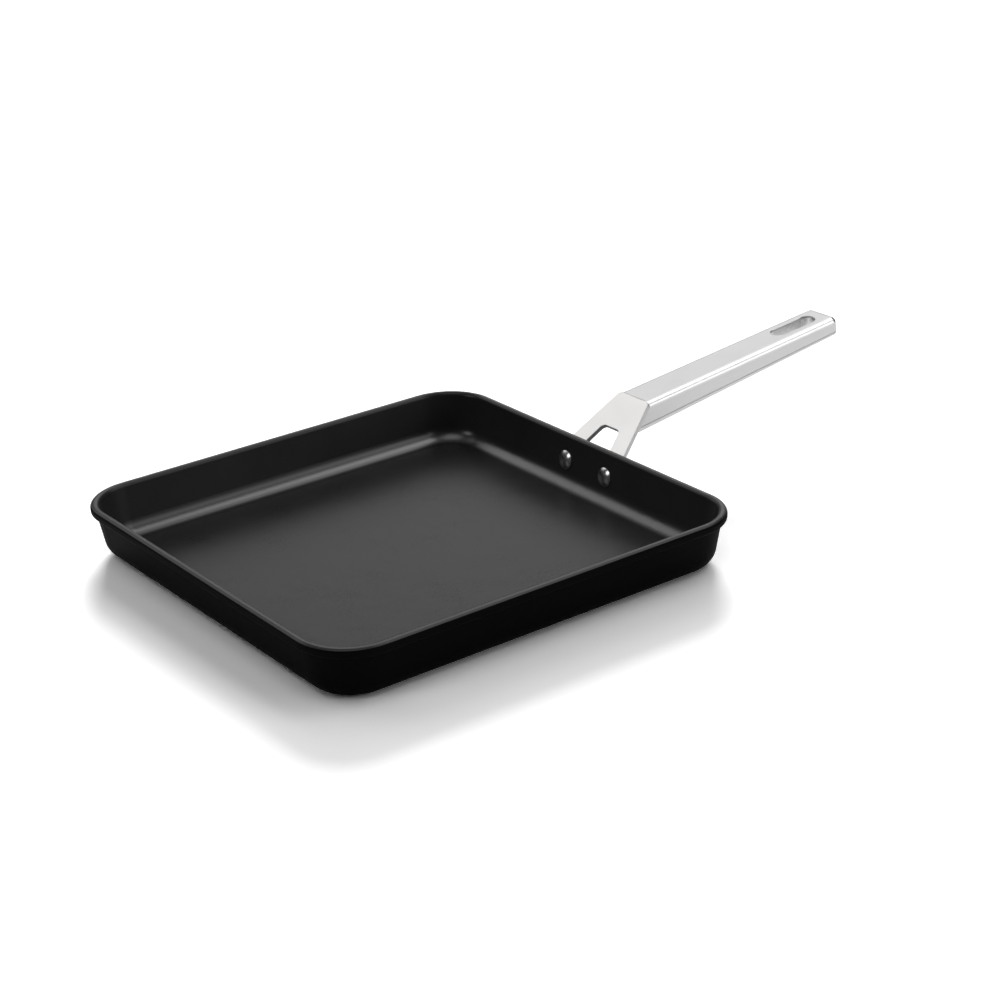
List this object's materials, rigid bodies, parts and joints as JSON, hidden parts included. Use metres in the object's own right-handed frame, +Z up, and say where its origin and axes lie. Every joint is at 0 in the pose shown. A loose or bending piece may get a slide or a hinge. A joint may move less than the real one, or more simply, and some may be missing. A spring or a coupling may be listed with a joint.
{
  "type": "square frying pan",
  "caption": "Square black non-stick pan with low drafted walls, a bead rim, a sloping steel bracket riveted to one wall and a hollow steel grip with a hanging slot.",
  "frame": {"origin": "middle of the pan's underside, on the surface that it stands on", "axes": "+Z up, +X out along the handle, +Y to the left of someone who looks along +X"},
  "size_m": [0.4731, 0.28, 0.0709],
  "materials": {
    "nonstick_coating": "cast aluminium under a satin black non-stick coating, inside and outside",
    "base_steel": "turned, with ring grooves",
    "handle_steel": "satin, grained along the grip",
    "rivet_steel": "polished domes"
  },
  "bodies": {
    "root": {"pan_body": "nonstick_coating", "induction_plate": "base_steel", "handle_bracket": "handle_steel", "grip_upper_shell": "handle_steel", "grip_lower_shell": "handle_steel", "hang_slot_sleeve": "handle_steel", "rivet_left": "rivet_steel", "rivet_right": "rivet_steel"}
  },
  "joints": []
}
